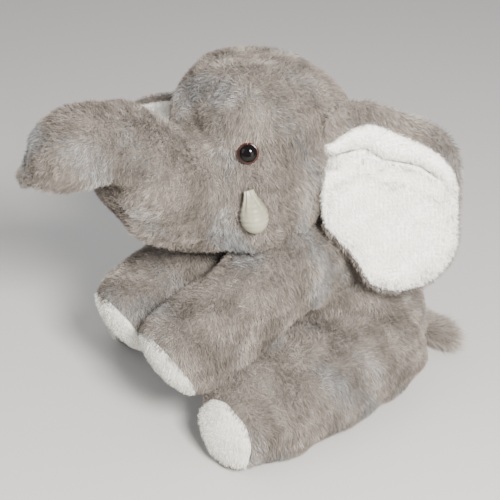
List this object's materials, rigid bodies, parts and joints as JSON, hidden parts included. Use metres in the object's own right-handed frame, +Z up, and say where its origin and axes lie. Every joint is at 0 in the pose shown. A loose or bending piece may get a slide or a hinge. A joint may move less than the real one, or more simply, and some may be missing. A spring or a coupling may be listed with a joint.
{
  "type": "stuffed elephant",
  "caption": "Sitting plush elephant with raised trunk, large lined ears, satin tusks, smooth paw pads, safety eyes and a short tufted tail.",
  "frame": {"origin": "middle of the round seat panel, on the surface that the toy sits on", "axes": "+Z up, -Y the way the animal faces, +X the animal's left side"},
  "size_m": [0.2517, 0.3534, 0.2702],
  "materials": {
    "plush": "grey short-pile plush",
    "smooth_pile": "off-white smooth plush",
    "satin": "cream satin",
    "stuffing": "loose polyester fibre",
    "eye": "brown-black gloss",
    "washer": "matte"
  },
  "bodies": {
    "torso": {"torso_left_panel": "plush", "torso_right_panel": "plush", "seat_panel": "plush", "torso_stuffing": "stuffing"},
    "head": {"head_left_panel": "plush", "head_right_panel": "plush", "head_gusset": "plush", "head_stuffing": "stuffing", "left_tusk_cover": "satin", "left_tusk_stuffing": "stuffing", "right_tusk_cover": "satin", "right_tusk_stuffing": "stuffing", "left_eye": "eye", "left_eye_washer": "washer", "right_eye": "eye", "right_eye_washer": "washer"},
    "trunk": {"trunk_left_panel": "plush", "trunk_right_panel": "plush", "trunk_tip_panel": "plush", "trunk_stuffing": "stuffing"},
    "left_arm": {"left_arm_skin": "plush", "left_arm_stuffing": "stuffing", "left_paw_pad": "smooth_pile"},
    "right_arm": {"right_arm_skin": "plush", "right_arm_stuffing": "stuffing", "right_paw_pad": "smooth_pile"},
    "left_leg": {"left_leg_skin": "plush", "left_leg_stuffing": "stuffing", "left_foot_pad": "smooth_pile"},
    "right_leg": {"right_leg_skin": "plush", "right_leg_stuffing": "stuffing", "right_foot_pad": "smooth_pile"},
    "left_ear": {"left_ear_outer": "plush", "left_ear_lining": "smooth_pile"},
    "right_ear": {"right_ear_outer": "plush", "right_ear_lining": "smooth_pile"},
    "tail": {"tail_skin": "plush", "tail_stuffing": "stuffing", "tail_tuft": "plush"}
  },
  "joints": [
    {"name": "head_nod", "type": "hinge", "parent": "torso", "child": "head", "pos_m": [0, -0.083, 0.213], "axis": [-1, 0, 0], "range_deg": [0, 8], "stiffness_Nm_per_rad": 0.6},
    {"name": "trunk_lift", "type": "hinge", "parent": "head", "child": "trunk", "pos_m": [0, -0.121, 0.18], "axis": [-1, 0, 0], "range_deg": [-10, 10], "stiffness_Nm_per_rad": 0.5},
    {"name": "left_ear_swing", "type": "hinge", "parent": "head", "child": "left_ear", "pos_m": [0.058, -0.059, 0.2], "axis": [0, 0, -1], "range_deg": [-10, 10], "stiffness_Nm_per_rad": 0.02},
    {"name": "right_ear_swing", "type": "hinge", "parent": "head", "child": "right_ear", "pos_m": [-0.058, -0.059, 0.2], "axis": [0, 0, -1], "range_deg": [0, 45], "stiffness_Nm_per_rad": 0.02},
    {"name": "left_arm_swing", "type": "hinge", "parent": "torso", "child": "left_arm", "pos_m": [0.038, -0.083, 0.127], "axis": [-0.4472, 0, 0.8944], "range_deg": [0, 20], "stiffness_Nm_per_rad": 0.3},
    {"name": "right_arm_swing", "type": "hinge", "parent": "torso", "child": "right_arm", "pos_m": [-0.038, -0.083, 0.127], "axis": [-0.4472, 0, -0.8944], "range_deg": [0, 20], "stiffness_Nm_per_rad": 0.3},
    {"name": "left_leg_splay", "type": "hinge", "parent": "torso", "child": "left_leg", "pos_m": [0.048, -0.01, 0.038], "axis": [0, 0, 1], "range_deg": [0, 20], "stiffness_Nm_per_rad": 0.4},
    {"name": "right_leg_splay", "type": "hinge", "parent": "torso", "child": "right_leg", "pos_m": [-0.048, -0.01, 0.038], "axis": [0, 0, -1], "range_deg": [-15, 5], "stiffness_Nm_per_rad": 0.4},
    {"name": "tail_wag", "type": "hinge", "parent": "torso", "child": "tail", "pos_m": [0, 0.057, 0.024], "axis": [0, 0, 1], "range_deg": [-20, 20], "stiffness_Nm_per_rad": 0.01}
  ]
}
